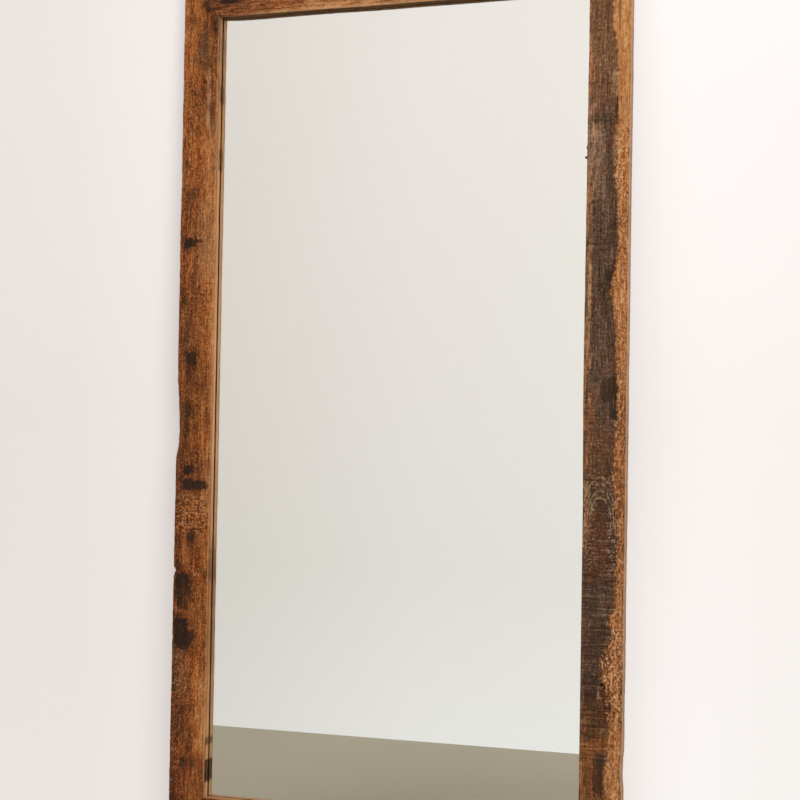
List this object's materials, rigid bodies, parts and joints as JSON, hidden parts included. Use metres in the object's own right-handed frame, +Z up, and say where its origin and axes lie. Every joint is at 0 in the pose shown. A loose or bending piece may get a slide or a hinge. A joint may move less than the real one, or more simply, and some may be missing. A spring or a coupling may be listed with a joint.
{
  "type": "leaning floor mirror",
  "caption": "Tall rectangular floor mirror that leans on a wall, in a mitred reclaimed-timber frame with a rebated glass pane, a screwed-on back, turn buttons and D-ring hangers.",
  "frame": {"origin": "on the floor under the middle of the overall width and depth, with the mirror upright", "axes": "+X across the face to the viewer's right, +Y from the face towards the wall, +Z up along the stiles"},
  "size_m": [0.9, 0.039, 1.69],
  "materials": {
    "reclaimed_wood": "old hand-finished hardwood, waxed, with dark weathered patches",
    "spline_wood": "plain planed hardwood",
    "dark_steel": "black oxide steel plate",
    "zinc_steel": "zinc-plated steel",
    "glass": "clear float glass with a faint green edge",
    "silvering": "silver mirror coating, painted grey behind",
    "backing_board": "unfinished plywood",
    "felt": "black felt",
    "rubber": "black rubber"
  },
  "bodies": {
    "frame": {"left_stile": "reclaimed_wood", "right_stile": "reclaimed_wood", "top_rail": "reclaimed_wood", "bottom_rail": "reclaimed_wood", "mitre_spline_top_left": "spline_wood", "mitre_spline_top_right": "spline_wood", "mitre_spline_bottom_left": "spline_wood", "mitre_spline_bottom_right": "spline_wood", "corner_brace_top_left": "dark_steel", "corner_brace_top_right": "dark_steel", "corner_brace_bottom_left": "dark_steel", "corner_brace_bottom_right": "dark_steel", "corner_brace_screws": "zinc_steel", "mirror_glass": "glass", "mirror_silvering": "silvering", "glass_setting_blocks": "rubber", "cushion_strip_left": "felt", "cushion_strip_right": "felt", "cushion_strip_top": "felt", "cushion_strip_bottom": "felt", "backing_board": "backing_board", "turn_button_washers": "zinc_steel", "turn_button_screws": "zinc_steel", "hanger_strap_left": "zinc_steel", "hanger_strap_right": "zinc_steel", "hanger_screws": "zinc_steel", "foot_pad_left": "rubber", "foot_pad_right": "rubber", "wall_bumper_left": "rubber", "wall_bumper_right": "rubber", "wall_bumper_screws": "zinc_steel"},
    "turn_button_left_low": {"turn_button_left_low": "zinc_steel"},
    "turn_button_left_mid": {"turn_button_left_mid": "zinc_steel"},
    "turn_button_left_high": {"turn_button_left_high": "zinc_steel"},
    "turn_button_right_low": {"turn_button_right_low": "zinc_steel"},
    "turn_button_right_mid": {"turn_button_right_mid": "zinc_steel"},
    "turn_button_right_high": {"turn_button_right_high": "zinc_steel"},
    "turn_button_top": {"turn_button_top": "zinc_steel"},
    "turn_button_bottom": {"turn_button_bottom": "zinc_steel"},
    "d_ring_left": {"d_ring_left": "zinc_steel"},
    "d_ring_right": {"d_ring_right": "zinc_steel"}
  },
  "joints": [
    {"name": "turn_button_left_low_turn", "type": "hinge", "parent": "frame", "child": "turn_button_left_low", "pos_m": [-0.399, 0.0142, 0.3], "axis": [0, 1, 0], "continuous": true},
    {"name": "turn_button_left_mid_turn", "type": "hinge", "parent": "frame", "child": "turn_button_left_mid", "pos_m": [-0.399, 0.0142, 0.8465], "axis": [0, 1, 0], "continuous": true},
    {"name": "turn_button_left_high_turn", "type": "hinge", "parent": "frame", "child": "turn_button_left_high", "pos_m": [-0.399, 0.0142, 1.29], "axis": [0, 1, 0], "continuous": true},
    {"name": "turn_button_right_low_turn", "type": "hinge", "parent": "frame", "child": "turn_button_right_low", "pos_m": [0.399, 0.0142, 0.3], "axis": [0, 1, 0], "continuous": true},
    {"name": "turn_button_right_mid_turn", "type": "hinge", "parent": "frame", "child": "turn_button_right_mid", "pos_m": [0.399, 0.0142, 0.8465], "axis": [0, 1, 0], "continuous": true},
    {"name": "turn_button_right_high_turn", "type": "hinge", "parent": "frame", "child": "turn_button_right_high", "pos_m": [0.399, 0.0142, 1.29], "axis": [0, 1, 0], "continuous": true},
    {"name": "turn_button_top_turn", "type": "hinge", "parent": "frame", "child": "turn_button_top", "pos_m": [0, 0.0142, 1.639], "axis": [0, 1, 0], "continuous": true},
    {"name": "turn_button_bottom_turn", "type": "hinge", "parent": "frame", "child": "turn_button_bottom", "pos_m": [0, 0.0142, 0.054], "axis": [0, 1, 0], "continuous": true},
    {"name": "d_ring_left_swing", "type": "hinge", "parent": "frame", "child": "d_ring_left", "pos_m": [-0.4175, 0.0161, 1.45], "axis": [1, 0, 0], "range_deg": [0, 180]},
    {"name": "d_ring_right_swing", "type": "hinge", "parent": "frame", "child": "d_ring_right", "pos_m": [0.4175, 0.0161, 1.45], "axis": [1, 0, 0], "range_deg": [0, 180]}
  ]
}
